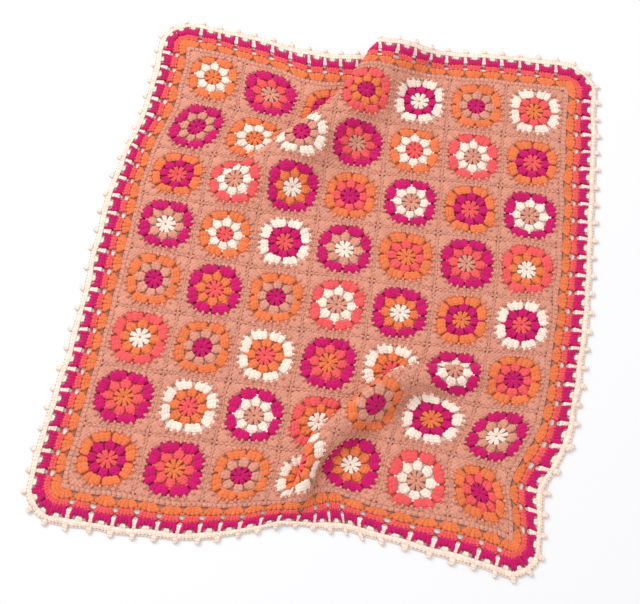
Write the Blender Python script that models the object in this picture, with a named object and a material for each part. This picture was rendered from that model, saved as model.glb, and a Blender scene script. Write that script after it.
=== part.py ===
"""Granny square blanket, 7 by 8 squares with a shell border and a picot edging, lying loose
with two diagonal folds.  The cloth is planned flat, cut into its pieces, and then laid.
Metres, +Z up, origin under the middle of the laid blanket, +Y towards its top edge."""

from collections import namedtuple
from math import cos, pi, radians, sin

import bmesh
import bpy
import numpy as np

# Flat plan of the blanket
SQUARE = 0.090                      # one granny square with its joining round
COLUMNS, ROWS = 7, 8
HALF_X = SQUARE * COLUMNS / 2       # half of the joined squares
HALF_Y = SQUARE * ROWS / 2
SHELLS_X, SHELLS_Y = 22, 24         # border shells along a short and along a long side
CORNER_FANS = 4                     # wider shells that turn each corner
SHEET = 0.003                       # thickness of the crochet
JOIN_GAP = 0.0004                   # between one piece and the next
FOLD_GAP = 0.0013                   # the same where a fold lifts and twists the join

# Widths out from the edge of the joined squares
BASE_ROUND = 0.006                  # plain round worked round the joined squares
INNER_HOLES = (0.0176, 0.0236)      # first row of gaps between the shells
OUTER_HOLES = (0.0272, 0.0316)      # second row
SHELL_ROUND = 0.042                 # end of the shells
EDGING_VALLEY = 0.050               # between two picots
PICOT_TIP = 0.057
INNER_WIDTH, OUTER_WIDTH = 0.0098, 0.0066     # of a gap in each row
PICOT_FOOT = 0.0045                 # half of a picot's width at its foot

# Where the middle of the laid blanket is, measured on the plan
LAID_CENTRE = (-0.00855, 0.01112)

# A fold runs from a tip inside the cloth out through an edge.  One side is a long near
# flank, the other a steep far flank, and both take up cloth that is drawn in from that side.
Fold = namedtuple("Fold", "tip_x tip_y heading turn height full_at near_slope far_slope "
                          "near_share fan_from fan_to edge_drop far_side bent_from bent_to")
FOLDS = (
    Fold(-0.245, 0.084, radians(36.9), radians(31.8), 0.030, 0.196, radians(30),
         radians(100), 0.07, radians(116), radians(147), 0.00, 1, -0.014, 0.062),
    Fold(0.280, -0.119, radians(180.7), radians(108), 0.028, 0.188, radians(65),
         radians(130), 1.03, radians(87), radians(133), 0.92, -1, -0.058, 0.048),
)
EDGE_DROP_FROM, EDGE_DROP_OVER = 0.31, 0.10   # from the tip, where a fold sinks again
RIDGE_POWER = 1.2                   # how its height follows its growth from the tip
FLAT = 0.001                        # what is left of a fold where it has not yet risen

# Places where the cloth was dragged along the floor as it was put down
Pull = namedtuple("Pull", "x y reach move_x move_y")
PULLS = (
    Pull(-0.475, 0.122, 0.217, 0.0145, 0.0152),
    Pull(-0.399, -0.441, 0.218, -0.0197, 0.0157),
    Pull(-0.115, 0.345, 0.055, 0.0157, -0.0213),
    Pull(0.362, -0.329, 0.173, -0.0272, 0.0234),
    Pull(0.069, -0.484, 0.108, -0.0393, 0.0549),
    Pull(0.160, -0.360, 0.090, 0.0075, -0.0230),
    Pull(0.240, -0.360, 0.060, 0.0180, 0.0105),
    Pull(-0.400, 0.040, 0.090, -0.0095, 0.0100),
    Pull(0.160, -0.040, 0.090, 0.0040, -0.0035),
    Pull(0.000, -0.440, 0.060, -0.0010, 0.0135),
    Pull(0.240, 0.440, 0.090, -0.0005, 0.0080),
    Pull(-0.320, 0.200, 0.060, -0.0050, -0.0110),
    Pull(0.320, -0.360, 0.060, 0.0115, -0.0035),
)

# The faces are smaller where the cloth bends: how far out along a fold from its tip that
# starts, and the longest edge, on the bent flanks and for some way beside them
FINE_FROM, FINE_EDGE = 0.10, 0.0130
MIDDLE_FROM, MIDDLE_EDGE, MIDDLE_BESIDE = 0.05, 0.0260, 0.040
REFINE_PASSES = 3
NORMAL_STEP = 0.0005                # to measure which way the cloth faces
MERGE = 0.00002
SHARP_EDGE = radians(50)

# Each piece, from the middle outwards, with its yarn colour
PIECES = {
    "joined_squares": (0.62, 0.36, 0.24),
    "shell_border": (0.80, 0.20, 0.10),
    "picot_edging": (0.88, 0.80, 0.68),
}
YARN_ROUGHNESS = 0.9

STATIONS, WEIGHTS = np.polynomial.legendre.leggauss(10)
STATIONS, WEIGHTS = (STATIONS + 1) / 2, WEIGHTS / 2


def ease(x):
    x = np.clip(x, 0, 1)
    return x * x * (3 - 2 * x)


def flank(share, slope):
    """Run and drop of a flank of unit length, from the crest down to a share of it."""
    along = share[..., None] * STATIONS
    angle = slope[..., None] * np.sin(pi * along) ** 2
    return share * (np.cos(angle) @ WEIGHTS), share * (np.sin(angle) @ WEIGHTS)


def crest_distance(x, y, fold):
    """Distance from a fold's tip, and round from its crest (positive on the far side)."""
    dx, dy = x - fold.tip_x, y - fold.tip_y
    out = np.hypot(dx, dy) + 1e-9
    crest = fold.heading + fold.turn * out
    turn = (np.arctan2(dy, dx) - crest + pi) % (2 * pi) - pi
    return out, crest, turn * fold.far_side


def fold_over(x, y, fold):
    """How far one fold moves a point of the flat cloth, along x and y, and lifts it."""
    out, crest, turn = crest_distance(x, y, fold)
    sunk = 1 - fold.edge_drop * ease((out - EDGE_DROP_FROM) / EDGE_DROP_OVER)
    grown = ease(out / fold.full_at) * sunk + FLAT
    height = fold.height * grown ** RIDGE_POWER
    near_slope, far_slope = fold.near_slope * grown, fold.far_slope * grown
    full = np.ones_like(out)
    near_run, near_drop = flank(full, near_slope)
    far_run, far_drop = flank(full, far_slope)
    near, far = height / near_drop, height / far_drop
    near_take, far_take = near * (1 - near_run), far * (1 - far_run)
    arc = out * turn
    part_near = flank(np.clip(-arc / near, 0, 1), near_slope)
    part_far = flank(np.clip(arc / far, 0, 1), far_slope)
    lift = height - near * part_near[1] - far * part_far[1]
    crest_at = fold.near_share * (near_take + far_take) - near_take
    laid = crest_at + np.where(arc < 0, -near * part_near[0] - np.clip(-arc - near, 0, None),
                               far * part_far[0] + np.clip(arc - far, 0, None))
    held = 1 - ease((np.abs(turn) - fold.fan_from) / (fold.fan_to - fold.fan_from))
    angle = crest + fold.far_side * (turn + (laid - arc) * held / out)
    return (fold.tip_x + out * np.cos(angle) - x, fold.tip_y + out * np.sin(angle) - y, lift)


def lay(points):
    """The underside of the laid cloth at points of the flat plan."""
    x, y = points[:, 0], points[:, 1]
    laid = np.stack([x - LAID_CENTRE[0], y - LAID_CENTRE[1], np.zeros(len(x))], axis=1)
    for fold in FOLDS:
        laid += np.stack(fold_over(x, y, fold), axis=1)
    for pull in PULLS:
        share = np.exp(-((x - pull.x) ** 2 + (y - pull.y) ** 2) / (2 * pull.reach ** 2))
        laid[:, 0] += pull.move_x * share
        laid[:, 1] += pull.move_y * share
    return laid


def cloth_normal(points):
    """Which way the upper side of the laid cloth faces."""
    step_x, step_y = np.array([NORMAL_STEP, 0]), np.array([0, NORMAL_STEP])
    along_x = lay(points + step_x) - lay(points - step_x)
    along_y = lay(points + step_y) - lay(points - step_y)
    normal = np.cross(along_x, along_y)
    return normal / np.linalg.norm(normal, axis=1, keepdims=True)


def edge_line():
    """Stations round the joined squares: foot on their edge, and the way out from it."""
    sides = (((-HALF_X, -HALF_Y), (1, 0), (0, -1), SHELLS_X, 2 * HALF_X),
             ((HALF_X, -HALF_Y), (0, 1), (1, 0), SHELLS_Y, 2 * HALF_Y),
             ((HALF_X, HALF_Y), (-1, 0), (0, 1), SHELLS_X, 2 * HALF_X),
             ((-HALF_X, HALF_Y), (0, -1), (-1, 0), SHELLS_Y, 2 * HALF_Y))
    stations = []
    for start, along, out, shells, length in sides:
        for i in range(shells + 1):
            foot = [start[k] + along[k] * length * i / shells for k in (0, 1)]
            stations.append((foot, out, i < shells))
        for i in range(1, CORNER_FANS):
            a = pi / 2 * i / CORNER_FANS
            way = [out[k] * cos(a) + along[k] * sin(a) for k in (0, 1)]
            stations.append((foot, way, False))
    return stations


def border_point(here, after, span, across):
    """Point of the border between two stations: share of the way, and width out."""
    (foot_a, out_a, _), (foot_b, out_b, _) = here, after
    foot = [foot_a[k] + (foot_b[k] - foot_a[k]) * span for k in (0, 1)]
    way = [out_a[k] + (out_b[k] - out_a[k]) * span for k in (0, 1)]
    size = (way[0] ** 2 + way[1] ** 2) ** 0.5
    return (foot[0] + way[0] / size * across, foot[1] + way[1] / size * across)


def border_cells(here, after):
    """The cells of one shell's width of border, each with the piece that it belongs to."""
    at_corner = here[0] == after[0]
    length = abs(after[0][0] - here[0][0]) + abs(after[0][1] - here[0][1])
    base = [(0, 0), (0, BASE_ROUND), (1, BASE_ROUND)] + [(1, 0)] * (not at_corner)
    cells = [("joined_squares", base)]
    if here[2]:
        p, q = 0.5 - INNER_WIDTH / length / 2, 0.5 + INNER_WIDTH / length / 2
        s, t = 0.5 - OUTER_WIDTH / length / 2, 0.5 + OUTER_WIDTH / length / 2
        (a, b), (c, d) = INNER_HOLES, OUTER_HOLES
        shell = [[(0, BASE_ROUND), (p, a), (q, a), (1, BASE_ROUND)],
                 [(0, BASE_ROUND), (0, SHELL_ROUND), (s, d), (s, c), (p, b), (p, a)],
                 [(1, BASE_ROUND), (q, a), (q, b), (t, c), (t, d), (1, SHELL_ROUND)],
                 [(p, b), (s, c), (t, c), (q, b)],
                 [(s, d), (0, SHELL_ROUND), (1, SHELL_ROUND), (t, d)]]
    else:
        length = EDGING_VALLEY * pi / 2 / CORNER_FANS
        shell = [[(0, BASE_ROUND), (0, SHELL_ROUND), (1, SHELL_ROUND), (1, BASE_ROUND)]]
    cells += [("shell_border", cell) for cell in shell]
    foot = PICOT_FOOT / length
    picot = [(0, SHELL_ROUND), (0, EDGING_VALLEY), (0.5 - foot, EDGING_VALLEY), (0.5, PICOT_TIP),
             (0.5 + foot, EDGING_VALLEY), (1, EDGING_VALLEY), (1, SHELL_ROUND)]
    return cells + [("picot_edging", picot)]


def blanket_plan():
    """The whole blanket as one flat sheet, whose faces know which piece they belong to."""
    mesh = bmesh.new()
    piece_of = mesh.faces.layers.int.new("piece")
    bmesh.ops.create_grid(mesh, x_segments=SHELLS_X, y_segments=SHELLS_Y, size=1)
    for vert in mesh.verts:
        vert.co.x *= HALF_X
        vert.co.y *= HALF_Y
    stations = edge_line()
    for here, after in zip(stations, stations[1:] + stations[:1]):
        for name, cell in border_cells(here, after):
            corners = [border_point(here, after, *at) for at in cell]
            face = mesh.faces.new([mesh.verts.new((x, y, 0)) for x, y in corners])
            face[piece_of] = list(PIECES).index(name)
    bmesh.ops.remove_doubles(mesh, verts=mesh.verts, dist=MERGE)
    return mesh


def refine(mesh):
    """Split the edges that are too long for the bend of the cloth where they lie."""
    for _ in range(REFINE_PASSES):
        bmesh.ops.triangulate(mesh, faces=mesh.faces, quad_method="BEAUTY")
        edges = list(mesh.edges)
        ends = np.array([[v.co[:2] for v in e.verts] for e in edges])
        middle, length = ends.mean(axis=1), np.linalg.norm(ends[:, 0] - ends[:, 1], axis=1)
        allowed = np.full(len(edges), np.inf)
        for fold in FOLDS:
            out, _, turn = crest_distance(middle[:, 0], middle[:, 1], fold)
            arc = np.where(np.abs(turn) < pi / 2, out * turn, np.inf)
            off = np.maximum(fold.bent_from - arc, arc - fold.bent_to)
            allowed[(off < MIDDLE_BESIDE) & (out > MIDDLE_FROM)] = MIDDLE_EDGE
            allowed[(off < 0) & (out > FINE_FROM)] = FINE_EDGE
        long_edges = [e for e, size, ok in zip(edges, length, allowed) if size > ok]
        bmesh.ops.subdivide_edges(mesh, edges=long_edges, cuts=1)
    bmesh.ops.triangulate(mesh, faces=mesh.faces, quad_method="BEAUTY")


def cut_out(plan, index):
    """One piece of the flat plan, drawn back from the pieces that it meets."""
    mesh = plan.copy()
    piece_of = mesh.faces.layers.int["piece"]
    lift = lay(np.array([vert.co[:2] for vert in mesh.verts], dtype=float))[:, 2]
    for vert, lifted in zip(mesh.verts, lift > SHEET / 4):
        met = {face[piece_of] for face in vert.link_faces}
        if index in met and len(met) > 1:
            out = [max(abs(vert.co[k]) - half, 0) * (1 if vert.co[k] > 0 else -1)
                   for k, half in ((0, HALF_X), (1, HALF_Y))]
            size = (out[0] ** 2 + out[1] ** 2) ** 0.5
            step = (FOLD_GAP if lifted else JOIN_GAP) / 2 * (1 if min(met) < index else -1)
            vert.co.x += out[0] / size * step
            vert.co.y += out[1] / size * step
    others = [face for face in mesh.faces if face[piece_of] != index]
    bmesh.ops.delete(mesh, geom=others, context="FACES")
    return mesh


def make_piece(name, mesh, colour, collection):
    """Give a flat piece its thickness and lay it into its folds."""
    under = set(mesh.verts)
    bmesh.ops.extrude_face_region(mesh, geom=mesh.faces[:])
    verts = list(mesh.verts)
    points = np.array([vert.co[:2] for vert in verts], dtype=float)
    places, upward = lay(points), cloth_normal(points)
    for vert, place, up in zip(verts, places, upward):
        vert.co = place if vert in under else place + SHEET * up
    bmesh.ops.recalc_face_normals(mesh, faces=mesh.faces)
    data = bpy.data.meshes.new(name)
    mesh.to_mesh(data)
    mesh.free()
    data.shade_smooth()
    data.set_sharp_from_angle(angle=SHARP_EDGE)
    thing = bpy.data.objects.new(name, data)
    collection.objects.link(thing)
    yarn = bpy.data.materials.new(name + "_yarn")
    yarn.use_nodes = True
    shader = yarn.node_tree.nodes["Principled BSDF"]
    shader.inputs["Base Color"].default_value = (*colour, 1)
    shader.inputs["Roughness"].default_value = YARN_ROUGHNESS
    shader.inputs["Metallic"].default_value = 0
    data.materials.append(yarn)


def main():
    for thing in list(bpy.data.objects):
        bpy.data.objects.remove(thing, do_unlink=True)
    blanket = bpy.data.collections.new("granny_square_blanket")
    bpy.context.scene.collection.children.link(blanket)
    plan = blanket_plan()
    refine(plan)
    for index, (name, colour) in enumerate(PIECES.items()):
        make_piece(name, cut_out(plan, index), colour, blanket)
    plan.free()


main()
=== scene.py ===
from collections import namedtuple
from math import atan2, cos, pi, radians, sin, tau

import bmesh
import bpy
import numpy as np
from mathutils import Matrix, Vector


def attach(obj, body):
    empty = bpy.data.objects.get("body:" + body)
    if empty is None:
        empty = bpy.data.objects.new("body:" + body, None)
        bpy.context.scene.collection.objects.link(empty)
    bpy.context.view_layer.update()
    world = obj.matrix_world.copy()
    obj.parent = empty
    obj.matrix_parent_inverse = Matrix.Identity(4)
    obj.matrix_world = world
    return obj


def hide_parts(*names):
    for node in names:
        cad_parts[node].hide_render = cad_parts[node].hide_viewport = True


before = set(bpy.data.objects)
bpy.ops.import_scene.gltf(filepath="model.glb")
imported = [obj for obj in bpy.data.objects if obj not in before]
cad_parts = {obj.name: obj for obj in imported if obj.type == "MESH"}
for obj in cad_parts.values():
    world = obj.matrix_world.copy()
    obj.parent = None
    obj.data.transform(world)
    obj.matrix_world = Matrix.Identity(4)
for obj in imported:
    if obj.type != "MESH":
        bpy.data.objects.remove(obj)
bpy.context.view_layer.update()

# ---------------------------------------------------------------------------------------
# The blanket as it lies.  It was put down loosely on a flat surface with two diagonal folds
# in it, and dragged a little in places.  Everything is worked flat, as on a lap, with its
# height over the surface in z, and is then laid into these folds.
# ---------------------------------------------------------------------------------------
LAID_CENTRE = (-0.00855, 0.01112)          # middle of the laid blanket, on the plan
Fold = namedtuple("Fold", "tip_x tip_y heading turn height full_at near_slope far_slope "
                          "near_share fan_from fan_to edge_drop far_side")
# Fitting programs solved most numbers of the folds, and all of the pulls, from the photograph.
FOLDS = (
    Fold(-0.245, 0.084, radians(36.9), radians(31.8), 0.030, 0.196, radians(30),
         radians(100), 0.07, radians(116), radians(147), 0.00, 1),
    Fold(0.280, -0.119, radians(180.7), radians(108), 0.028, 0.188, radians(65),
         radians(130), 1.03, radians(87), radians(133), 0.92, -1),
)
EDGE_DROP_FROM, EDGE_DROP_OVER = 0.31, 0.10     # from the tip, where a fold sinks again
RIDGE_POWER = 1.2                          # how its height follows its growth from the tip
FLAT = 0.001                               # what is left of it where it has not yet risen
TIP_SIZE = 1e-9                            # so that no point lies quite on a tip
Pull = namedtuple("Pull", "x y reach move_x move_y")
PULLS = (
    Pull(-0.475, 0.122, 0.217, 0.0145, 0.0152),
    Pull(-0.399, -0.441, 0.218, -0.0197, 0.0157),
    Pull(-0.115, 0.345, 0.055, 0.0157, -0.0213),
    Pull(0.362, -0.329, 0.173, -0.0272, 0.0234),
    Pull(0.069, -0.484, 0.108, -0.0393, 0.0549),
    Pull(0.160, -0.360, 0.090, 0.0075, -0.0230),
    Pull(0.240, -0.360, 0.060, 0.0180, 0.0105),
    Pull(-0.400, 0.040, 0.090, -0.0095, 0.0100),
    Pull(0.160, -0.040, 0.090, 0.0040, -0.0035),
    Pull(0.000, -0.440, 0.060, -0.0010, 0.0135),
    Pull(0.240, 0.440, 0.090, -0.0005, 0.0080),
    Pull(-0.320, 0.200, 0.060, -0.0050, -0.0110),
    Pull(0.320, -0.360, 0.060, 0.0115, -0.0035),
)
NORMAL_STEP = 0.0005                       # to measure which way the cloth faces
FLANK_STATIONS = 10                        # where the slope of a flank is added up
STATIONS, WEIGHTS = np.polynomial.legendre.leggauss(FLANK_STATIONS)
STATIONS, WEIGHTS = (STATIONS + 1) / 2, WEIGHTS / 2


def ease(x):
    """Rises smoothly from 0 to 1."""
    x = np.clip(x, 0, 1)
    return x * x * (3 - 2 * x)


def flank(share, slope):
    """Run and drop of a flank of unit length, from the crest down to a share of it."""
    along = share[..., None] * STATIONS
    angle = slope[..., None] * np.sin(pi * along) ** 2
    return share * (np.cos(angle) @ WEIGHTS), share * (np.sin(angle) @ WEIGHTS)


def fold_over(x, y, fold):
    """How far one fold moves points of the flat cloth along x and y, and how far it lifts."""
    dx, dy = x - fold.tip_x, y - fold.tip_y
    out = np.hypot(dx, dy) + TIP_SIZE
    crest = fold.heading + fold.turn * out
    turn = ((np.arctan2(dy, dx) - crest + pi) % tau - pi) * fold.far_side
    sunk = 1 - fold.edge_drop * ease((out - EDGE_DROP_FROM) / EDGE_DROP_OVER)
    grown = ease(out / fold.full_at) * sunk + FLAT
    height = fold.height * grown ** RIDGE_POWER
    near_slope, far_slope = fold.near_slope * grown, fold.far_slope * grown
    full = np.ones_like(out)
    near_run, near_drop = flank(full, near_slope)
    far_run, far_drop = flank(full, far_slope)
    near, far = height / near_drop, height / far_drop
    near_take, far_take = near * (1 - near_run), far * (1 - far_run)
    arc = out * turn
    part_near = flank(np.clip(-arc / near, 0, 1), near_slope)
    part_far = flank(np.clip(arc / far, 0, 1), far_slope)
    lift = height - near * part_near[1] - far * part_far[1]
    crest_at = fold.near_share * (near_take + far_take) - near_take
    laid = crest_at + np.where(arc < 0, -near * part_near[0] - np.clip(-arc - near, 0, None),
                               far * part_far[0] + np.clip(arc - far, 0, None))
    held = 1 - ease((np.abs(turn) - fold.fan_from) / (fold.fan_to - fold.fan_from))
    angle = crest + fold.far_side * (turn + (laid - arc) * held / out)
    return (fold.tip_x + out * np.cos(angle) - x, fold.tip_y + out * np.sin(angle) - y, lift)


def lay(plan):
    """The underside of the laid cloth at points of the flat plan."""
    x, y = plan[:, 0], plan[:, 1]
    laid = np.stack([x - LAID_CENTRE[0], y - LAID_CENTRE[1], np.zeros(len(x))], axis=1)
    for fold in FOLDS:
        laid += np.stack(fold_over(x, y, fold), axis=1)
    for pull in PULLS:
        share = np.exp(-((x - pull.x) ** 2 + (y - pull.y) ** 2) / (2 * pull.reach ** 2))
        laid[:, 0] += pull.move_x * share
        laid[:, 1] += pull.move_y * share
    return laid


def cloth_normal(plan):
    """Which way the upper side of the laid cloth faces."""
    step_x, step_y = np.array([NORMAL_STEP, 0]), np.array([0, NORMAL_STEP])
    normal = np.cross(lay(plan + step_x) - lay(plan - step_x),
                      lay(plan + step_y) - lay(plan - step_y))
    return normal / np.linalg.norm(normal, axis=1, keepdims=True)


WANDERS = ((57, 23, 0.4), (-31, 64, 1.9), (88, -71, 3.1), (133, 102, 5.0))   # slow waves
WANDER = 0.0005                            # how far each of them moves a stitch


def hand_tension(plan):
    """No round is worked quite evenly: a slow drift of the stitches over the plan."""
    drift = np.zeros_like(plan)
    for across, up, start in WANDERS:
        drift[:, 0] += WANDER * np.sin(across * plan[:, 0] + up * plan[:, 1] + start)
        drift[:, 1] += WANDER * np.sin(up * plan[:, 0] - across * plan[:, 1] + start)
    return drift


def lay_down(mesh):
    """Moves a mesh that was worked flat to where the cloth lies."""
    flat = np.empty(len(mesh.vertices) * 3)
    mesh.vertices.foreach_get("co", flat)
    flat = flat.reshape(-1, 3)
    plan = flat[:, :2] + hand_tension(flat[:, :2])
    laid = lay(plan) + flat[:, 2:] * cloth_normal(plan)
    mesh.vertices.foreach_set("co", laid.ravel())
    mesh.update()


# ---------------------------------------------------------------------------------------
# The five yarns.  Soft plied yarn of aran weight in magenta, orange, coral, cream and beige.
# Two plies wind round each other, with a short fuzz over them.
# ---------------------------------------------------------------------------------------
YARNS = {
    "M": ("magenta", (0.550, 0.003, 0.120)),
    "O": ("orange", (0.760, 0.178, 0.060)),
    "C": ("coral", (0.800, 0.094, 0.098)),
    "W": ("cream", (0.900, 0.712, 0.605)),
    "B": ("beige", (0.650, 0.275, 0.193)),
}
PLIES = 2
PLY_PITCH = 0.0042                         # along the yarn, from one ply to the next
FUZZ_NOISE = (900.0, 3.0, 0.7)             # scale, detail and roughness
DYE_NOISE = (45.0, 2.0, 0.5)
LEAST_TONE = 0.66                          # of the dye, with what each of these adds to it
# the ply's share is painted shade in the grooves between the plies; the stitch, fuzz and dye
# shares are the yarn's own uneven tone
PLY_GROOVE_SHADE, STITCH_TONE, FUZZ_TONE, DYE_TONE = 0.16, 0.16, 0.18, 0.10
YARN_ROUGHNESS, FUZZ_ROUGHNESS = 0.78, 0.2
PLY_BUMP, FUZZ_BUMP = 0.7, 0.6


class Sum:
    """A number inside a node tree, which adds, multiplies and so on into further nodes."""

    def __init__(self, tree, socket):
        self.tree, self.socket = tree, socket

    def on(self, operation, *others):
        node = self.tree.nodes.new("ShaderNodeMath")
        node.operation = operation
        for socket, term in zip(node.inputs, (self,) + others):
            feed(self.tree, socket, term)
        return Sum(self.tree, node.outputs[0])

    def __add__(self, other):
        return self.on("ADD", other)

    def __sub__(self, other):
        return self.on("SUBTRACT", other)

    def __mul__(self, other):
        return self.on("MULTIPLY", other)

    def __truediv__(self, other):
        return self.on("DIVIDE", other)

    __radd__, __rmul__ = __add__, __mul__

    def __rsub__(self, other):
        return self * -1 + other


def feed(tree, socket, value):
    """Wires a socket to another one, or sets it to a plain value."""
    if isinstance(value, Sum):
        value = value.socket
    if isinstance(value, bpy.types.NodeSocket):
        tree.links.new(value, socket)
    else:
        socket.default_value = value


def step(tree, kind, *feeds, **settings):
    """A new node with its settings, whose open inputs are fed in their order."""
    node = tree.nodes.new(kind)
    for key, value in settings.items():
        setattr(node, key, value)
    for socket, value in zip([s for s in node.inputs if s.enabled], feeds):
        if value is not None:
            feed(tree, socket, value)
    return node


def attribute(tree, name):
    return step(tree, "ShaderNodeAttribute", attribute_name=name)


def noise(tree, scale, detail, roughness):
    """A random number from 0 to 1 that changes softly from place to place."""
    place = tree.nodes.new("ShaderNodeTexCoord").outputs["Object"]
    cloud = step(tree, "ShaderNodeTexNoise", place, scale, detail, roughness)
    return Sum(tree, cloud.outputs["Fac"])


def new_material(name):
    """A material with its node tree and its shader."""
    material = bpy.data.materials.new(name)
    material.use_nodes = True
    return material, material.node_tree, material.node_tree.nodes["Principled BSDF"]


def emboss(tree, shader, height, strength, distance):
    """Small bumps in a surface."""
    bump = step(tree, "ShaderNodeBump")
    bump.inputs["Strength"].default_value = strength
    bump.inputs["Distance"].default_value = distance
    feed(tree, bump.inputs["Height"], height)
    feed(tree, shader.inputs["Normal"], bump.outputs[0])


def spun_yarn(name, colour):
    """Plied yarn whose twist follows the strand, a little lighter or darker by the stitch."""
    material, tree, shader = new_material(name)
    strand = step(tree, "ShaderNodeSeparateXYZ", attribute(tree, "strand").outputs["Vector"])
    along, round_it = (Sum(tree, strand.outputs[k]) for k in (0, 1))
    reach = Sum(tree, attribute(tree, "reach").outputs["Fac"])
    shade = Sum(tree, attribute(tree, "shade").outputs["Fac"])
    # painted shade: the yarn is darker in the grooves between its plies
    ply = ((along * reach / PLY_PITCH + round_it * PLIES) * tau).on("SINE") * 0.5 + 0.5
    fuzz, dye = noise(tree, *FUZZ_NOISE), noise(tree, *DYE_NOISE)
    tone = (LEAST_TONE + ply * PLY_GROOVE_SHADE + shade * STITCH_TONE + fuzz * FUZZ_TONE
            + dye * DYE_TONE)
    dyed = step(tree, "ShaderNodeVectorMath", (*colour,), None, operation="SCALE")
    feed(tree, dyed.inputs["Scale"], tone)
    feed(tree, shader.inputs["Base Color"], dyed.outputs[0])
    feed(tree, shader.inputs["Roughness"], YARN_ROUGHNESS + fuzz * FUZZ_ROUGHNESS)
    shader.inputs["Specular IOR Level"].default_value = 0.2
    shader.inputs["Sheen Weight"].default_value = 0.12
    shader.inputs["Sheen Roughness"].default_value = 0.5
    emboss(tree, shader, ply * PLY_BUMP + fuzz * FUZZ_BUMP, strength=0.6, distance=0.0009)
    return material


YARN_MATERIALS = {letter: spun_yarn(name + "_plied_yarn", colour)
                  for letter, (name, colour) in YARNS.items()}

# ---------------------------------------------------------------------------------------
# The web of yarn under the stitches' faces.  Between the stitches of a round one sees the
# legs and loops that hold them, in the round's own yarn.  Its colour is that yarn with painted
# shade, darkest under the middles, and with painted light on the cream edging.  It is made as
# three thin sheets, one for each piece of the blanket, with the gaps of the border open.
# ---------------------------------------------------------------------------------------
SQUARE = 0.090
COLUMNS, ROWS = 7, 8
HALF_X, HALF_Y = SQUARE * COLUMNS / 2, SQUARE * ROWS / 2
BASE_ROUND, SHELL_ROUND = 0.006, 0.042     # how far out from the squares they end
WEB_CELL = 0.009
WEB_FROM, WEB_TO = 0.0003, 0.0013          # its underside and its upper side
WEB_MERGE = 0.00005                        # corners nearer than this are one
CHART = (                                  # middle, petals and outer round of each square
    "OWO BCM CMO MOC WMW MBO OCW",
    "MBM OWO MBW BCM CWO BWC CMO",
    "CMO BWC WOM MCO BWM CMO BWM",
    "WBM CWO CMW WBM OCO BCM WOC",
    "MBO COM MBO BWC WOM OMO CMW",
    "WOC MBO COW OCM COW BWM MCO",
    "OCM COW BWM WOC MBO OMW WBM",
    "CMO OCM MBO COW WOM BWC MCO",
)
MOTIFS = [line.split() for line in CHART]
SQUARES = [((column - (COLUMNS - 1) / 2) * SQUARE, ((ROWS - 1) / 2 - row) * SQUARE, motif)
           for row, motifs in enumerate(MOTIFS) for column, motif in enumerate(motifs)]
ROUNDS = ("middle", "petals", "outer", "joins")
ROUND_ENDS = (0.0130 / SQUARE, 0.0300 / SQUARE, 0.0405 / SQUARE)
ROUND_SHADES = (0.60, 1.2, 1.25, 1.25)     # how much light reaches the legs of each round
# painted light on the legs of the border: a little on the shells, much more on the cream edging
SHELLS_PAINTED_LIGHT, EDGING_PAINTED_LIGHT = (1.1,), (1.7,)
LEG_NOISE = (420.0, 3.0, 0.6)              # scale, detail and roughness
# painted shade on the legs: their yarn's colour is darkened to between 0.42 and 0.82 of it
LEAST_PAINTED_LEG_LIGHT, PAINTED_LEG_LIGHT = 0.42, 0.40
SHELLS_X, SHELLS_Y = 22, 24
WIDE_GAP, NARROW_GAP = 0.0098, 0.0066      # width of a gap in the first and the second row
Ring = namedtuple("Ring", "low high yarn between gap", defaults=(None,))
SHELL_RINGS = (Ring(BASE_ROUND, 0.0116, "B", "B"), Ring(0.0116, 0.0176, "O", "O"),
               Ring(0.0176, 0.0236, "C", "C", WIDE_GAP), Ring(0.0236, 0.0272, "C", "C"),
               Ring(0.0272, 0.0316, "M", "M", NARROW_GAP), Ring(0.0316, 0.0360, "M", "W"),
               Ring(0.0360, SHELL_ROUND, "W", "W"))
EDGING_RINGS = (Ring(SHELL_ROUND, 0.0470, "W", "W"), Ring(0.0470, 0.0522, "W", "W"))
HOLE_CORNER = 0.0018                       # how far the rounding of a gap's corner reaches
MID_CUT = 3                                # which cut of a shell's width is the narrow gap
SIDE_IN, SIDE_ON, SIDE_OUT, SIDE_BACK = range(4)     # of a cell, in, on along, out and back
CORNER_STEPS = 12


def web_material(name, ends):
    """Shaded legs of the stitches, in the yarn of the round that lies over them."""
    material, tree, shader = new_material(name)
    plan = attribute(tree, "plan").outputs["Vector"]
    inside = step(tree, "ShaderNodeVectorMath", plan, operation="FRACTION").outputs[0]
    off = step(tree, "ShaderNodeVectorMath", inside, (0.5, 0.5, 0), operation="SUBTRACT")
    radius = Sum(tree, step(tree, "ShaderNodeVectorMath", off.outputs[0],
                            operation="LENGTH").outputs["Value"])
    colour = attribute(tree, ROUNDS[0]).outputs["Color"]
    for starts, layer in zip(ends, ROUNDS[1:]):
        mixed = step(tree, "ShaderNodeMix", radius.on("GREATER_THAN", starts), colour,
                     attribute(tree, layer).outputs["Color"], data_type="RGBA")
        colour = [socket for socket in mixed.outputs if socket.enabled][0]
    legs = noise(tree, *LEG_NOISE)
    # painted shade: the legs' colour is scaled down, patchy by the noise
    deep = step(tree, "ShaderNodeVectorMath", colour, operation="SCALE")
    feed(tree, deep.inputs["Scale"], legs * PAINTED_LEG_LIGHT + LEAST_PAINTED_LEG_LIGHT)
    feed(tree, shader.inputs["Base Color"], deep.outputs[0])
    feed(tree, shader.inputs["Roughness"], 0.8 + legs * 0.2)
    shader.inputs["Specular IOR Level"].default_value = 0.2
    emboss(tree, shader, legs, strength=0.7, distance=0.001)
    return material


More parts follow.
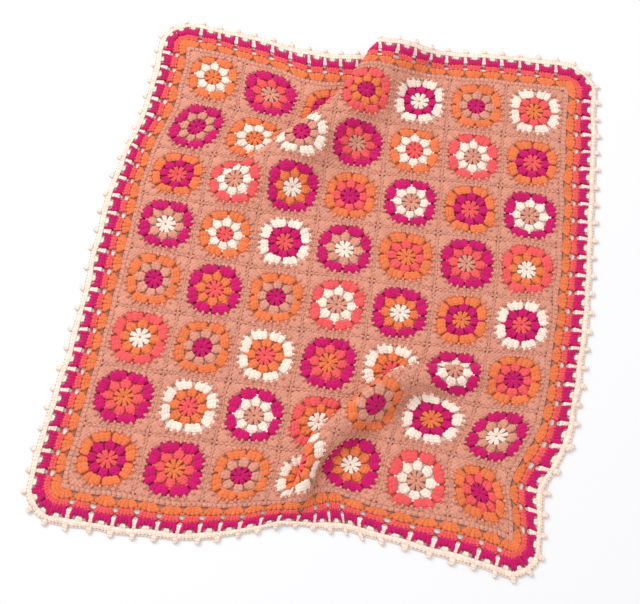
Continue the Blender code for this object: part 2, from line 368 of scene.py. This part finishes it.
def web(name, cells, yarns, shades, material):
    """A thin sheet from flat cells, each with the yarn of every round that shows in it."""
    corners = np.array([corner for cell in cells for corner in cell])
    numbers = iter(range(len(corners)))
    mesh = bpy.data.meshes.new(name)
    mesh.from_pydata([(x, y, 0) for x, y in corners], [],
                     [[next(numbers) for _ in cell] for cell in cells])
    for k, (layer, shade) in enumerate(zip(ROUNDS, shades)):
        shown = mesh.color_attributes.new(layer, "FLOAT_COLOR", "CORNER")
        # each round's yarn colour, times the painted light or shade of its legs
        tones = [(*(shade * part for part in YARNS[letters[k]][1]), 1)
                 for letters, cell in zip(yarns, cells) for _ in cell]
        shown.data.foreach_set("color", np.array(tones).ravel())
    plan = mesh.uv_layers.new(name="plan")
    from_corner = np.array([COLUMNS, ROWS]) / 2
    plan.data.foreach_set("uv", (corners / SQUARE + from_corner).ravel())
    made = bmesh.new()
    made.from_mesh(mesh)
    bmesh.ops.remove_doubles(made, verts=made.verts, dist=WEB_MERGE)
    under = set(made.verts)
    bmesh.ops.extrude_face_region(made, geom=made.faces[:])
    for vert in made.verts:
        vert.co.z = WEB_FROM if vert in under else WEB_TO
    bmesh.ops.recalc_face_normals(made, faces=made.faces)
    made.to_mesh(mesh)
    made.free()
    lay_down(mesh)
    mesh.shade_smooth()
    mesh.materials.append(material)
    piece = bpy.data.objects.new(name, mesh)
    bpy.context.scene.collection.objects.link(piece)
    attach(piece, "root")
    return piece


def square_cells():
    """The cells of the joined squares and their beige round, each with its four yarns."""
    cells, yarns = [], []
    across, up = ([-half - BASE_ROUND, *np.arange(-half, half + WEB_CELL / 2, WEB_CELL),
                   half + BASE_ROUND] for half in (HALF_X, HALF_Y))
    for west, east in zip(across, across[1:]):
        for south, north in zip(up, up[1:]):
            cells.append([(west, south), (east, south), (east, north), (west, north)])
            column = ((west + east) / 2 + HALF_X) // SQUARE
            row = (HALF_Y - (south + north) / 2) // SQUARE
            inside = 0 <= column < COLUMNS and 0 <= row < ROWS
            motif = MOTIFS[int(row)][int(column)] if inside else "BBB"
            yarns.append(motif + "B")
    return cells, yarns


def border_sides():
    """The four sides: first corner of the squares, way along, way out, shells and length."""
    return (((-HALF_X, -HALF_Y), (1, 0), (0, -1), SHELLS_X, 2 * HALF_X),
            ((HALF_X, -HALF_Y), (0, 1), (1, 0), SHELLS_Y, 2 * HALF_Y),
            ((HALF_X, HALF_Y), (-1, 0), (0, 1), SHELLS_X, 2 * HALF_X),
            ((-HALF_X, HALF_Y), (0, -1), (-1, 0), SHELLS_Y, 2 * HALF_Y))


def framed(cell, gaps):
    """The corners of a cell, with two more on each of its sides that a gap lies along."""
    a, b, low, high = cell
    ring = []
    for side, (start, end) in enumerate((((a, low), (b, low)), ((b, low), (b, high)),
                                         ((b, high), (a, high)), ((a, high), (a, low)))):
        ring.append(start)
        if side in gaps:
            run, rise = end[0] - start[0], end[1] - start[1]
            reach = HOLE_CORNER / (abs(run) + abs(rise))
            ring += [(start[0] + run * share, start[1] + rise * share)
                     for share in (reach, 1 - reach)]
    return ring


def narrow_gap(cell, cut):
    """What is left of a cell of a ring of narrow gaps, whose corners are rounded."""
    if cut != MID_CUT:
        beside = {MID_CUT - 1: [SIDE_ON], MID_CUT + 1: [SIDE_BACK]}
        return [framed(cell, beside.get(cut, []))]
    ring = framed(cell, (SIDE_IN, SIDE_ON, SIDE_OUT, SIDE_BACK))
    return [[ring[k], ring[k + 1], ring[k - 1]] for k in range(0, len(ring), 3)]


def wide_gap(cell, cut):
    """What is left of a cell of a ring of wide gaps, whose corners are rounded."""
    a, b, low, high = cell
    if cut == MID_CUT - 1:
        return [[(a, low), (b, low), (a, low + HOLE_CORNER)],
                [(a, high), (a, high - HOLE_CORNER), (b, high)]]
    if cut == MID_CUT + 1:
        return [[(b, low), (b, low + HOLE_CORNER), (a, low)],
                [(b, high), (a, high), (b, high - HOLE_CORNER)]]
    if cut == MID_CUT:
        return []
    beside = {MID_CUT - 2: [SIDE_ON], MID_CUT + 2: [SIDE_BACK]}
    return [framed(cell, beside.get(cut, []))]


def ring_cells(rings):
    """The cells of a part of the border, each with its yarn, with its gaps left out."""
    cells, yarns = [], []
    for start, along, out, shells, length in border_sides():
        size = length / shells
        wide, narrow = (size - WIDE_GAP) / 2, (size - NARROW_GAP) / 2
        cuts = [0, wide / 2, wide, narrow, size - narrow, size - wide, size - wide / 2]
        marks = [i * size + cut for i in range(shells) for cut in cuts] + [length]
        heading = atan2(out[1], out[0])
        corner = (start[0] + along[0] * length, start[1] + along[1] * length)
        for level, ring in enumerate(rings):
            beside = [side for side, other in ((SIDE_IN, level - 1), (SIDE_OUT, level + 1))
                      if 0 <= other < len(rings) and rings[other].gap == NARROW_GAP]
            for k, (a, b) in enumerate(zip(marks, marks[1:])):
                cut, cell = k % len(cuts), (a, b, ring.low, ring.high)
                near_gap = abs(cut - MID_CUT) <= 1
                if ring.gap == WIDE_GAP:
                    shapes = wide_gap(cell, cut)
                elif ring.gap == NARROW_GAP:
                    shapes = narrow_gap(cell, cut)
                else:
                    shapes = [framed(cell, beside if cut == MID_CUT else [])]
                for shape in shapes:
                    cells.append([(start[0] + along[0] * t + out[0] * w,
                                   start[1] + along[1] * t + out[1] * w) for t, w in shape])
                    yarns.append(ring.between if near_gap else ring.yarn)
            for k in range(CORNER_STEPS):
                a, b = (heading + pi / 2 * (k + end) / CORNER_STEPS for end in (0, 1))
                cells.append([(corner[0] + cos(t) * w, corner[1] + sin(t) * w)
                              for t, w in ((a, ring.low), (b, ring.low), (b, ring.high),
                                           (a, ring.high))])
                yarns.append(ring.yarn)
    return cells, yarns


squares_web = web("squares_web", *square_cells(), ROUND_SHADES,
                  web_material("shaded_legs_of_squares", ROUND_ENDS))
border_legs = web_material("shaded_legs_of_border", ())
shells_web = web("shells_web", *ring_cells(SHELL_RINGS), SHELLS_PAINTED_LIGHT, border_legs)
edging_web = web("edging_web", *ring_cells(EDGING_RINGS), EDGING_PAINTED_LIGHT, border_legs)

# ---------------------------------------------------------------------------------------
# How a round is worked.  Clusters of stitches stand round a middle: each stitch is a stout
# wound post from its foot to its head, with the loop of its head lying across the top.  The
# same tree makes the rounds of the squares and of the border from their own sizes.
# ---------------------------------------------------------------------------------------
COUNTS = ("Clusters", "Stitches", "Rings", "Sides", "Loop rings", "Loop sides", "Seed")
SIZES = ("Start", "Foot", "Head", "Foot fan", "Head fan", "Dip", "Width", "Foot share",
         "Thickness", "Lift", "Lobe", "Twist", "Loop length", "Loop width", "Loop height",
         "Loop turn", "Loop lift", "Uneven", "Squareness")
VARIED = ("turn", "head", "lean", "width", "thickness", "post shade", "loop turn",
          "loop length", "loop width", "loop height", "loop shade")
TURN_UNEVEN, HEAD_UNEVEN, LEAN_UNEVEN = 0.10, 0.15, 0.50     # shares of how uneven it is
STRAND_SEAM = 0.0001                       # closes a strand of unit length


def keep(tree, geometry, name, value, domain, data_type="FLOAT"):
    """Keeps a value with the geometry, under a name that the yarn can read."""
    node = step(tree, "GeometryNodeStoreNamedAttribute", data_type=data_type, domain=domain)
    node.inputs["Name"].default_value = name
    feed(tree, node.inputs["Geometry"], geometry)
    feed(tree, [s for s in node.inputs if s.name == "Value" and s.enabled][0], value)
    return node.outputs[0]


def strand(tree, rings, sides, foot_share, lobe, twist, from_end):
    """A closed strand of unit length, width and height, wound from a flat grid."""
    grid = step(tree, "GeometryNodeMeshGrid", 1.0, 1.0, rings, sides)
    position = tree.nodes.new("GeometryNodeInputPosition").outputs[0]
    where = step(tree, "ShaderNodeSeparateXYZ", position)
    along = Sum(tree, where.outputs[0]) + 0.5
    angle = Sum(tree, where.outputs[1]) * tau
    middle = along * 2 - 1
    blunt = (1 - (middle * middle) * (middle * middle)).on("MAXIMUM", 0.0).on("SQRT")
    wide = blunt * (foot_share + (1 - foot_share) * along) * 0.5
    wound = 1 + lobe * (angle * 2 + along * twist * tau).on("COSINE")
    place = step(tree, "ShaderNodeCombineXYZ", along - (0.0 if from_end else 0.5),
                 wide * wound * angle.on("COSINE"),
                 wide * wound * angle.on("SINE") + 0.5)
    moved = step(tree, "GeometryNodeSetPosition", grid.outputs["Mesh"], None, place.outputs[0])
    kept = keep(tree, moved.outputs[0], "strand", grid.outputs["UV Map"], "CORNER", "FLOAT2")
    joined = step(tree, "GeometryNodeMergeByDistance", kept)
    joined.inputs["Distance"].default_value = STRAND_SEAM
    return step(tree, "GeometryNodeSetShadeSmooth", joined.outputs[0]).outputs[0]


def round_tree():
    """The node tree that works a round of stitches about each point that it is given."""
    tree = bpy.data.node_groups.new("worked_round", "GeometryNodeTree")
    face = tree.interface
    face.new_socket("Geometry", in_out="INPUT", socket_type="NodeSocketGeometry")
    for name in COUNTS:
        face.new_socket(name, in_out="INPUT", socket_type="NodeSocketInt")
    for name in SIZES:
        face.new_socket(name, in_out="INPUT", socket_type="NodeSocketFloat")
    face.new_socket("Yarn", in_out="INPUT", socket_type="NodeSocketMaterial")
    face.new_socket("Geometry", in_out="OUTPUT", socket_type="NodeSocketGeometry")
    given = tree.nodes.new("NodeGroupInput").outputs
    size = {name: Sum(tree, given[name]) for name in COUNTS + SIZES}

    copies = step(tree, "GeometryNodeDuplicateElements", given["Geometry"], None,
                  size["Clusters"] * size["Stitches"], domain="POINT")
    number = Sum(tree, copies.outputs["Duplicate Index"])
    cluster = (number / size["Stitches"] + 0.001).on("FLOOR")
    share = (number - cluster * size["Stitches"] + 0.5) / size["Stitches"] * 2 - 1
    heading = Sum(tree, step(tree, "GeometryNodeInputNamedAttribute", "heading",
                             data_type="FLOAT").outputs["Attribute"])

    def luck(thing):
        """A random number from -1 to 1 for each stitch, and for each thing that varies."""
        node = step(tree, "FunctionNodeRandomValue", data_type="FLOAT")
        low, high = [s for s in node.inputs if s.enabled and s.name in ("Min", "Max")]
        low.default_value, high.default_value = -1.0, 1.0
        feed(tree, node.inputs["Seed"], size["Seed"] + (VARIED.index(thing) + 1))
        return Sum(tree, [s for s in node.outputs if s.enabled][0])

    uneven = size["Uneven"]
    turn = (heading + size["Start"] + cluster * tau / size["Clusters"]
            + luck("turn") * uneven * TURN_UNEVEN)
    ahead = (turn.on("COSINE"), turn.on("SINE"))
    foot_side, head_side = share * size["Foot fan"], share * size["Head fan"]
    squared = 1 - size["Squareness"] * ((turn + head_side) * 4).on("COSINE")
    foot_far = size["Foot"] * squared / (foot_side * foot_side + 1).on("SQRT")
    head_far = (size["Head"] * squared * (1 - size["Dip"] * share * share)
                * (luck("head") * uneven * HEAD_UNEVEN + 1))
    foot, head = ((far * (ahead[0] - side * ahead[1]), far * (ahead[1] + side * ahead[0]))
                  for far, side in ((foot_far, foot_side), (head_far, head_side)))
    run = (head[0] - foot[0], head[1] - foot[1])
    reach = (run[0] * run[0] + run[1] * run[1]).on("SQRT")
    angle = run[1].on("ARCTAN2", run[0])

    def standing(at, lift, geometry, turned, scale, length, shade):
        """Stitches set at a place beside each middle, turned and sized."""
        move = step(tree, "ShaderNodeCombineXYZ", at[0], at[1], lift)
        points = step(tree, "GeometryNodeSetPosition", copies.outputs[0])
        feed(tree, points.inputs["Offset"], move.outputs[0])
        stitches = step(tree, "GeometryNodeInstanceOnPoints", points.outputs[0])
        feed(tree, stitches.inputs["Instance"], geometry)
        turning = step(tree, "ShaderNodeCombineXYZ", 0.0, 0.0, turned)
        feed(tree, stitches.inputs["Rotation"], turning.outputs[0])
        sizing = step(tree, "ShaderNodeCombineXYZ", *scale)
        feed(tree, stitches.inputs["Scale"], sizing.outputs[0])
        shaded = keep(tree, stitches.outputs[0], "shade", luck(shade) * 0.5 + 0.5, "INSTANCE")
        return keep(tree, shaded, "reach", length, "INSTANCE")

    def near(key, thing):
        """About the size that is given, a little more or less for each stitch."""
        return size[key] * (luck(thing) * uneven + 1)

    post = strand(tree, size["Rings"], size["Sides"], size["Foot share"], size["Lobe"],
                  size["Twist"], True)
    posts = standing(foot, size["Lift"], post, angle + luck("lean") * uneven * LEAN_UNEVEN,
                     (reach, near("Width", "width"), near("Thickness", "thickness")), reach,
                     "post shade")
    loop = strand(tree, size["Loop rings"], size["Loop sides"], 1.0, size["Lobe"], 0.5, False)
    across = turn + pi / 2 + share * size["Loop turn"] + luck("loop turn") * uneven
    loops = standing(head, size["Loop lift"], loop, across,
                     (near("Loop length", "loop length"), near("Loop width", "loop width"),
                      near("Loop height", "loop height")), size["Loop length"], "loop shade")
    both = tree.nodes.new("GeometryNodeJoinGeometry")
    for geometry in (posts, loops):
        tree.links.new(geometry, both.inputs[0])
    real = step(tree, "GeometryNodeRealizeInstances", both.outputs[0])
    dyed = step(tree, "GeometryNodeSetMaterial", real.outputs[0])
    feed(tree, dyed.inputs["Material"], given["Yarn"])
    tree.links.new(dyed.outputs[0], tree.nodes.new("NodeGroupOutput").inputs[0])
    return tree


WORKED_ROUND = round_tree()
PLAIN_STITCH = {"Clusters": 1, "Stitches": 1, "Rings": 7, "Sides": 9, "Loop rings": 5,
                "Loop sides": 7, "Start": 0.0, "Foot fan": 0.0, "Head fan": 0.0, "Dip": 0.0,
                "Lobe": 0.10, "Twist": 1.0, "Loop turn": 0.0, "Uneven": 0.07, "Squareness": 0.0}


def work(name, middles, letter, seed, sizes):
    """Works one round in one yarn round each middle, (x, y, heading), and lays it down."""
    mesh = bpy.data.meshes.new(name + "_middles")
    mesh.from_pydata([(x, y, 0) for x, y, _ in middles], [], [])
    heading = mesh.attributes.new("heading", "FLOAT", "POINT")
    heading.data.foreach_set("value", [h for _, _, h in middles])
    marks = bpy.data.objects.new(name + "_middles", mesh)
    bpy.context.scene.collection.objects.link(marks)
    worked = marks.modifiers.new("worked", "NODES")
    worked.node_group = WORKED_ROUND
    sockets = {item.name: item.identifier for item in WORKED_ROUND.interface.items_tree
               if item.in_out == "INPUT"}
    for key, value in {**PLAIN_STITCH, **sizes, "Seed": seed}.items():
        worked[sockets[key]] = value
    worked[sockets["Yarn"]] = YARN_MATERIALS[letter]
    bpy.context.view_layer.update()
    drawn = marks.evaluated_get(bpy.context.evaluated_depsgraph_get())
    made = bpy.data.meshes.new_from_object(drawn)
    made.name = name
    bpy.data.objects.remove(marks, do_unlink=True)
    lay_down(made)
    piece = bpy.data.objects.new(name, made)
    bpy.context.scene.collection.objects.link(piece)
    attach(piece, "root")
    return piece


# ---------------------------------------------------------------------------------------
# The middles of the squares.  Sixteen stitches are worked into a small ring, so that they
# stand out from it like rays, in pairs, with the next round worked between the pairs.
# ---------------------------------------------------------------------------------------
MIDDLE = {"Clusters": 8, "Stitches": 2, "Rings": 6, "Sides": 7, "Loop rings": 4,
          "Loop sides": 6, "Start": pi / 8, "Foot": 0.0004, "Head": 0.0166, "Foot fan": 0.39,
          "Head fan": 0.25, "Width": 0.0048, "Foot share": 0.80, "Thickness": 0.0034,
          "Lift": 0.0008, "Loop length": 0.0040, "Loop width": 0.0022, "Loop height": 0.0024,
          "Loop lift": 0.0008}


def squares_with(place, letter):
    """The middles of the squares that have a yarn at one place of their motif."""
    return [(x, y, 0) for x, y, motif in SQUARES if motif[place] == letter]


middle_rounds = [work(YARNS[letter][0] + "_middles_of_squares", squares_with(0, letter), letter,
                      seed=11 + k, sizes=MIDDLE) for k, letter in enumerate(YARNS)]

# ---------------------------------------------------------------------------------------
# The petals.  Eight clusters of three stitches, each worked into one space between two pairs
# of rays, which swell into a broad petal with a pointed tip.
# ---------------------------------------------------------------------------------------
PETALS = {"Clusters": 8, "Stitches": 3, "Foot": 0.0132, "Head": 0.0294, "Foot fan": 0.30,
          "Head fan": 0.242, "Dip": 0.38, "Width": 0.0080, "Foot share": 0.78,
          "Thickness": 0.0044, "Lift": 0.0007, "Loop length": 0.0054, "Loop width": 0.0030,
          "Loop height": 0.0032, "Loop turn": 0.7, "Loop lift": 0.0012}
petal_rounds = [work(YARNS[letter][0] + "_petals", squares_with(1, letter), letter,
                     seed=21 + k, sizes=PETALS)
                for k, letter in enumerate(YARNS) if squares_with(1, letter)]

# ---------------------------------------------------------------------------------------
# The outer rounds.  Eight wider clusters of three stitches, two to a side, worked between
# the petals.  Each swells into a soft pillow, and the round is a little squared.  The cream
# ones are a little narrower.
# ---------------------------------------------------------------------------------------
SQUARENESS = 0.055
OUTER = {"Clusters": 8, "Stitches": 3, "Start": pi / 8, "Foot": 0.0246, "Head": 0.0406,
         "Foot fan": 0.34, "Head fan": 0.305, "Dip": 0.04, "Width": 0.0120,
         "Foot share": 0.75, "Thickness": 0.0046, "Lift": 0.0007, "Loop length": 0.0078,
         "Loop width": 0.0034, "Loop height": 0.0034, "Loop turn": 0.4, "Loop lift": 0.0010,
         "Squareness": SQUARENESS}
CREAM_OUTER = {"Head fan": 0.280, "Width": 0.0114}
outer_rounds = [work(YARNS[letter][0] + "_outer_rounds", squares_with(2, letter), letter,
                     seed=31 + k, sizes={**OUTER, **(CREAM_OUTER if letter == "W" else {})})
                for k, letter in enumerate(YARNS) if squares_with(2, letter)]

# ---------------------------------------------------------------------------------------
# The joining rounds.  Beige stitches turn each round motif into a square, thirteen to a
# side and longest at the corners, and join it to the squares beside it.  Where they bite
# into the outer round, between the heads of its stitches, their own feet stand up.
# ---------------------------------------------------------------------------------------
JOINING = {"Clusters": 4, "Stitches": 13, "Foot": 0.0375, "Head": 0.0444, "Foot fan": 1.0,
           "Head fan": 1.0, "Width": 0.0092, "Foot share": 0.90, "Thickness": 0.0030,
           "Lift": 0.0008, "Rings": 6, "Sides": 7, "Loop rings": 4, "Loop sides": 6,
           "Loop length": 0.0098, "Loop width": 0.0032, "Loop height": 0.0024,
           "Loop lift": 0.0016}
BITES = {"Clusters": 8, "Stitches": 3, "Foot": 0.0376, "Head": 0.0442, "Foot fan": 0.40,
         "Head fan": 0.40, "Width": 0.0046, "Foot share": 0.90, "Thickness": 0.0034,
         "Lift": 0.0030, "Rings": 5, "Sides": 6, "Loop rings": 4, "Loop sides": 5,
         "Loop length": 0.0056, "Loop width": 0.0028, "Loop height": 0.0024,
         "Loop lift": 0.0016, "Squareness": SQUARENESS}
joining_rounds = []
for k, half in enumerate(("upper", "lower")):
    count = len(SQUARES) // 2
    some = [(x, y, 0) for x, y, _ in SQUARES[k * count:(k + 1) * count]]
    joining_rounds += [work("joining_rounds_" + half, some, "B", seed=41 + k, sizes=JOINING),
                       work("joining_stitches_into_heads_" + half, some, "B", seed=43 + k,
                            sizes=BITES)]

# ---------------------------------------------------------------------------------------
# The first round of the border.  Short beige stitches are worked all round the joined
# squares, with a few more at the corners.
# ---------------------------------------------------------------------------------------
BASE_STITCH = 0.0070                       # from one stitch to the next
BASE_CORNER = (0.2, 0.5, 0.8)              # shares of a corner's turn
BASE = {"Foot": -0.0014, "Head": 0.0040, "Width": 0.0092, "Foot share": 0.9,
        "Thickness": 0.0030, "Lift": 0.0014, "Rings": 6, "Sides": 7, "Loop rings": 4,
        "Loop sides": 6, "Loop length": 0.0098, "Loop width": 0.0032, "Loop height": 0.0024,
        "Loop lift": 0.0018}


def along_sides(shift=0.0, spacing=None, last=False):
    """Places along the edge of the joined squares, each with the way out from there."""
    places = []
    for start, along, out, shells, length in border_sides():
        count = shells if spacing is None else round(length / spacing)
        for i in range(count + last):
            t = length * (i + shift) / count
            places.append((start[0] + along[0] * t, start[1] + along[1] * t,
                           atan2(out[1], out[0])))
    return places


def round_corners(shares):
    """Places at the corners of the joined squares, turned by shares of the corner."""
    return [(start[0] + along[0] * length, start[1] + along[1] * length,
             atan2(out[1], out[0]) + share * pi / 2)
            for start, along, out, _, length in border_sides() for share in shares]


base_round = work("beige_base_round", along_sides(0.5, BASE_STITCH)
                  + round_corners(BASE_CORNER), "B", seed=51, sizes=BASE)

# ---------------------------------------------------------------------------------------
# The shells.  Three rounds of fanned stitches, orange, coral and magenta, stand on top of
# each other in columns.  Gaps are left between the columns where one round meets the next.
# The magenta shells part in the middle like a fish's tail.
# ---------------------------------------------------------------------------------------
SHELL = {"Stitches": 5, "Rings": 6, "Sides": 8, "Loop rings": 5, "Loop sides": 6,
         "Foot share": 0.8, "Thickness": 0.0036, "Lift": 0.0008, "Loop length": 0.0066,
         "Loop width": 0.0028, "Loop height": 0.0028, "Loop turn": 0.6, "Loop lift": 0.0012}
ORANGE_SHELL = {**SHELL, "Foot": 0.0040, "Head": 0.0198, "Foot fan": 1.5, "Head fan": 1.02,
                "Dip": 0.26, "Width": 0.0090, "Foot share": 0.45}
CORAL_SHELL = {**SHELL, "Foot": 0.0178, "Head": 0.0284, "Foot fan": 0.46, "Head fan": 0.46,
               "Dip": 0.10, "Width": 0.0066, "Foot share": 0.60, "Lift": 0.0010,
               "Loop length": 0.0078}
MAGENTA_SHELL = {**SHELL, "Foot": 0.0268, "Head": 0.0362, "Foot fan": 0.34,
                 "Head fan": 0.298, "Dip": -0.24, "Width": 0.0064, "Foot share": 0.85,
                 "Thickness": 0.0040, "Lift": 0.0014, "Loop length": 0.0036,
                 "Loop width": 0.0026, "Loop turn": -0.5}
CORNER_SHELL = {"Stitches": 3, "Foot fan": 0.22, "Head fan": 0.25, "Dip": 0.04}
MAGENTA_CORNER = {"Foot fan": 0.16, "Head fan": 0.25}
CORNER_SHELLS_AT = (1 / 3, 2 / 3)          # shares of a corner's turn
shell_rounds = []
for k, (letter, shell, corner) in enumerate((("O", ORANGE_SHELL, CORNER_SHELL),
                                             ("C", CORAL_SHELL, CORNER_SHELL),
                                             ("M", MAGENTA_SHELL, MAGENTA_CORNER))):
    name = YARNS[letter][0]
    shell_rounds += [work(name + "_shells", along_sides(last=True), letter, seed=61 + k,
                          sizes=shell),
                     work(name + "_corner_shells", round_corners(CORNER_SHELLS_AT), letter,
                          seed=65 + k, sizes={**shell, **corner})]

# ---------------------------------------------------------------------------------------
# The edging.  A cream round closes the border.  It reaches down between the magenta shells,
# fills their notches, and over each gap a loop of chain makes a small knob, the picot.
# ---------------------------------------------------------------------------------------
EDGING = {**SHELL, "Stitches": 3, "Lift": 0.0010}
BETWEEN = {**EDGING, "Foot": 0.0292, "Head": 0.0440, "Foot fan": 0.125, "Head fan": 0.030,
           "Width": 0.0032, "Foot share": 1.20, "Thickness": 0.0026, "Lift": 0.0008,
           "Loop length": 0.0040}
NOTCH = {**EDGING, "Foot": 0.0372, "Head": 0.0436, "Foot fan": 0.05, "Head fan": 0.12,
         "Width": 0.0044, "Thickness": 0.0028, "Foot share": 0.8, "Loop length": 0.0040}
CREAM_STITCH = 0.0048                      # from one stitch to the next
CREAM_CORNER = 14                          # stitches round a corner
PICOT_CORNER = (1 / 6, 1 / 2, 5 / 6)       # shares of a corner's turn
CREAM = {**EDGING, "Stitches": 1, "Foot": 0.0418, "Head": 0.0508, "Width": 0.0084,
         "Foot share": 1.0, "Thickness": 0.0028, "Rings": 6, "Sides": 7, "Loop rings": 4,
         "Loop sides": 6, "Loop length": 0.0062, "Loop width": 0.0022, "Loop height": 0.0018,
         "Loop lift": 0.0006}
PICOT = {**EDGING, "Stitches": 2, "Foot": 0.0492, "Head": 0.0556, "Foot fan": 0.05,
         "Head fan": 0.03, "Width": 0.0054, "Foot share": 1.3, "Loop length": 0.0060,
         "Loop width": 0.0050, "Loop height": 0.0032, "Loop turn": 0.5, "Loop lift": 0.0008}
cream_corner = [(k + 0.5) / CREAM_CORNER for k in range(CREAM_CORNER)]
edging_rounds = [
    work("cream_between_shells", along_sides(0.5), "W", seed=71, sizes=BETWEEN),
    work("cream_in_notches", along_sides(last=True) + round_corners(CORNER_SHELLS_AT), "W",
         seed=72, sizes=NOTCH),
    work("cream_round", along_sides(0.5, CREAM_STITCH) + round_corners(cream_corner), "W",
         seed=73, sizes=CREAM),
    work("cream_picots", along_sides(0.5) + round_corners(PICOT_CORNER), "W", seed=74,
         sizes=PICOT),
]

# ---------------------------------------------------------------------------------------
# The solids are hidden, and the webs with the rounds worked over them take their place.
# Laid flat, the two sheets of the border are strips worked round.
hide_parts("joined_squares")
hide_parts("shell_border")
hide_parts("picot_edging")

# ---------------------------------------------------------------------------------------
# The surface that the blanket lies on, the light and the camera.
# ---------------------------------------------------------------------------------------
FLOOR_SIZE, FLOOR_BELOW = 12, 0.0002
bpy.ops.mesh.primitive_plane_add(size=FLOOR_SIZE, location=(0, 0, -FLOOR_BELOW))
floor = bpy.context.object
floor.name = "floor"
white_floor, _, floor_shader = new_material("white_floor")
floor_shader.inputs["Base Color"].default_value = (0.765, 0.768, 0.788, 1)
floor_shader.inputs["Roughness"].default_value = 0.9
floor.data.materials.append(white_floor)

world = bpy.context.scene.world or bpy.data.worlds.new("soft_room")
bpy.context.scene.world = world
world.use_nodes = True
sky = world.node_tree.nodes["Background"]
sky.inputs["Color"].default_value = (1.0, 0.99, 0.98, 1)
sky.inputs["Strength"].default_value = 0.86


def lamp(name, place, size, power):
    """A square soft lamp that faces the middle of the blanket."""
    light = bpy.data.lights.new(name, "AREA")
    light.size, light.energy = size, power
    thing = bpy.data.objects.new(name, light)
    thing.location = place
    thing.rotation_euler = (-Vector(place)).to_track_quat("-Z", "Y").to_euler()
    bpy.context.scene.collection.objects.link(thing)


lamp("window", (-1.9, 1.5, 2.2), size=1.8, power=70)
lamp("fill", (1.5, -1.5, 2.5), size=2.0, power=12)

CAMERA_AT = Vector((0.0544, -0.6186, 1.3847))
CAMERA_LOOKS_AT = Vector((-0.0152, -0.0489, 0.0))
eye = bpy.data.cameras.new("camera")
eye.lens, eye.sensor_width = 58.43, 36
camera = bpy.data.objects.new("camera", eye)
camera.location = CAMERA_AT
camera.rotation_euler = (CAMERA_LOOKS_AT - CAMERA_AT).to_track_quat("-Z", "Y").to_euler()
bpy.context.scene.collection.objects.link(camera)
bpy.context.scene.camera = camera
bpy.context.scene.view_settings.view_transform = "Standard"
